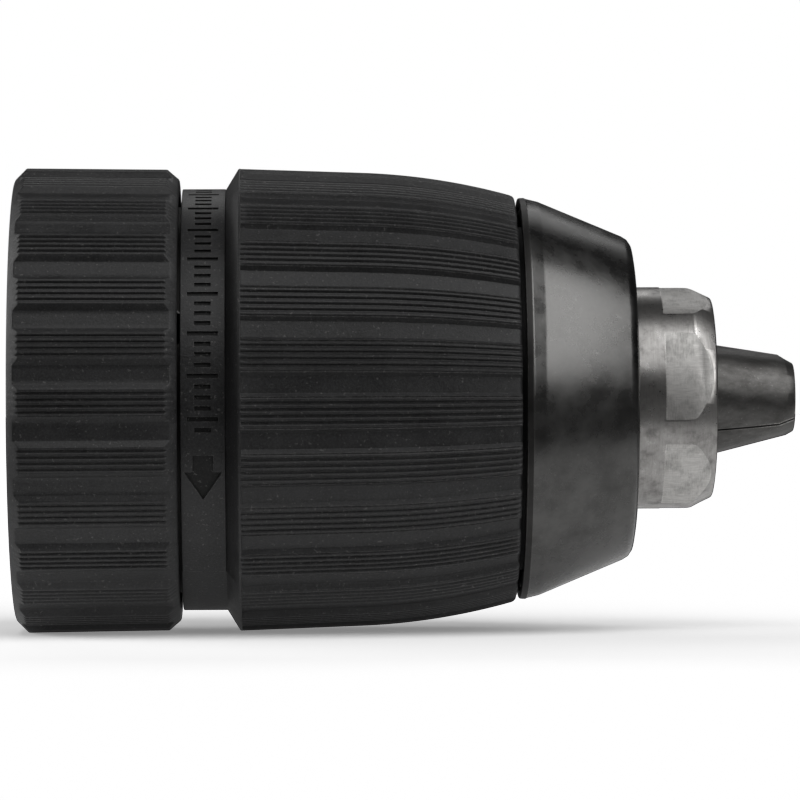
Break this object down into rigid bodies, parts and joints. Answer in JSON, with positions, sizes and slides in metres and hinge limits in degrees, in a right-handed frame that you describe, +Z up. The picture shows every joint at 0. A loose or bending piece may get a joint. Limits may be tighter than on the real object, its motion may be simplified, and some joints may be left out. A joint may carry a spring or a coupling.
{
  "type": "keyless drill chuck",
  "caption": "Two-sleeve keyless drill chuck: holding ring and ribbed clamping sleeve that drive three tapered jaws through a split nut.",
  "frame": {"origin": "centre of the spindle thread's mouth, on the chuck's rear face", "axes": "+X along the chuck axis towards the nose and jaws; the first jaw faces 21 degrees above -Y and a spanner flat faces 12 degrees above -Y; +Z up"},
  "size_m": [0.0722, 0.043, 0.043],
  "materials": {
    "body_steel": "blackened machined steel, worn bright at the nose edges",
    "ring_plastic": "moulded glass-filled plastic, fine satin",
    "sleeve_plastic": "moulded glass-filled plastic, fine satin",
    "strip_plastic": "moulded plastic, smooth satin",
    "cover_steel": "black oxide steel, burnished",
    "jaw_steel": "hardened steel, dark ground finish",
    "race_steel": "hardened and ground",
    "nut_steel": "phosphated steel",
    "band_steel": "drawn steel",
    "cage_brass": "pressed brass",
    "ball_steel": "polished",
    "clip_steel": "phosphated spring steel",
    "bush_plastic": "black acetal",
    "seal_rubber": "nitrile rubber"
  },
  "bodies": {
    "body": {"chuck_body": "body_steel", "rear_ring": "ring_plastic", "rear_snap_ring": "clip_steel", "thrust_washer": "race_steel", "guide_bush": "bush_plastic", "dust_seal": "seal_rubber", "nose_cover": "cover_steel", "cover_snap_ring": "clip_steel"},
    "sleeve": {"clamping_sleeve": "sleeve_plastic", "marking_strip": "strip_plastic", "nut_band": "band_steel", "nut_half_a": "nut_steel", "nut_half_b": "nut_steel", "nut_race": "race_steel", "disc_spring": "clip_steel"},
    "bearing": {"ball_cage": "cage_brass", "bearing_balls": "ball_steel"},
    "jaw_1": {"jaw_1": "jaw_steel"},
    "jaw_2": {"jaw_2": "jaw_steel"},
    "jaw_3": {"jaw_3": "jaw_steel"}
  },
  "joints": [
    {"name": "sleeve_turn", "type": "hinge", "parent": "body", "child": "sleeve", "pos_m": [0, 0, 0], "axis": [1, 0, 0], "range_deg": [0, 4414]},
    {"name": "cage_turn", "type": "hinge", "parent": "body", "child": "bearing", "pos_m": [0, 0, 0], "axis": [1, 0, 0], "range_deg": [0, 2207.5]},
    {"name": "jaw_1_slide", "type": "slide", "parent": "body", "child": "jaw_1", "axis": [-0.9681, -0.2337, 0.0897], "range_m": [0, 0.02596]},
    {"name": "jaw_2_slide", "type": "slide", "parent": "body", "child": "jaw_2", "axis": [-0.9681, 0.0392, -0.2473], "range_m": [0, 0.02596]},
    {"name": "jaw_3_slide", "type": "slide", "parent": "body", "child": "jaw_3", "axis": [-0.9681, 0.1946, 0.1576], "range_m": [0, 0.02596]}
  ],
  "couplings": [
    {"joint": "cage_turn", "follows": "sleeve_turn", "ratio": 0.5},
    {"joint": "jaw_1_slide", "follows": "sleeve_turn", "m_per_rad": 0.00033693},
    {"joint": "jaw_2_slide", "follows": "sleeve_turn", "m_per_rad": 0.00033693},
    {"joint": "jaw_3_slide", "follows": "sleeve_turn", "m_per_rad": 0.00033693}
  ]
}
